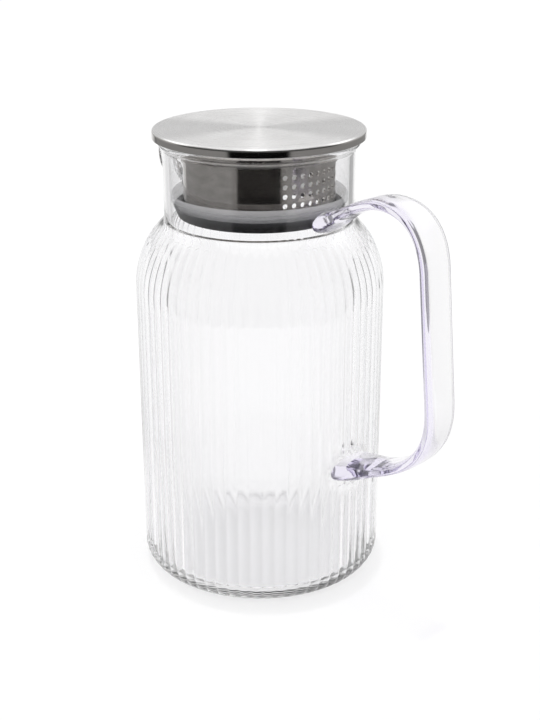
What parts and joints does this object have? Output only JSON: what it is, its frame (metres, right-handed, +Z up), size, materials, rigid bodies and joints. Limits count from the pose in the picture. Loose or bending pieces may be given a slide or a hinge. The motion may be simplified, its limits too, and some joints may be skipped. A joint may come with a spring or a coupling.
{
  "type": "water carafe with strainer lid",
  "caption": "Clear reeded plastic carafe with a bonded shoulder, spout and strap handle, closed by a lift-out steel lid with a perforated drum and a soft seal.",
  "frame": {"origin": "centre of the flat underside", "axes": "+Z up along the vessel's axis, +X towards the handle, the spout along -X"},
  "size_m": [0.1659, 0.1148, 0.2115],
  "materials": {
    "clear_plastic": "clear moulded plastic, polished",
    "tinted_plastic": "clear moulded plastic with a faint violet tint",
    "brushed_steel": "spun and brushed in circles",
    "drum_steel": "rolled sheet, bright",
    "silicone": "grey translucent silicone, satin"
  },
  "bodies": {
    "jug": {"lower_vessel": "clear_plastic", "shoulder_neck": "clear_plastic", "handle": "tinted_plastic"},
    "seal": {"seal_ring": "silicone"},
    "lid": {"lid_cap": "brushed_steel", "lid_backing_plate": "brushed_steel", "strainer_drum": "drum_steel"}
  },
  "joints": [
    {"name": "lid_lift", "type": "slide", "parent": "jug", "child": "seal", "axis": [0, 0, 1], "range_m": [0, 0.06]},
    {"name": "lid_turn", "type": "hinge", "parent": "seal", "child": "lid", "pos_m": [0, 0, 0.19], "axis": [0, 0, 1], "continuous": true}
  ]
}
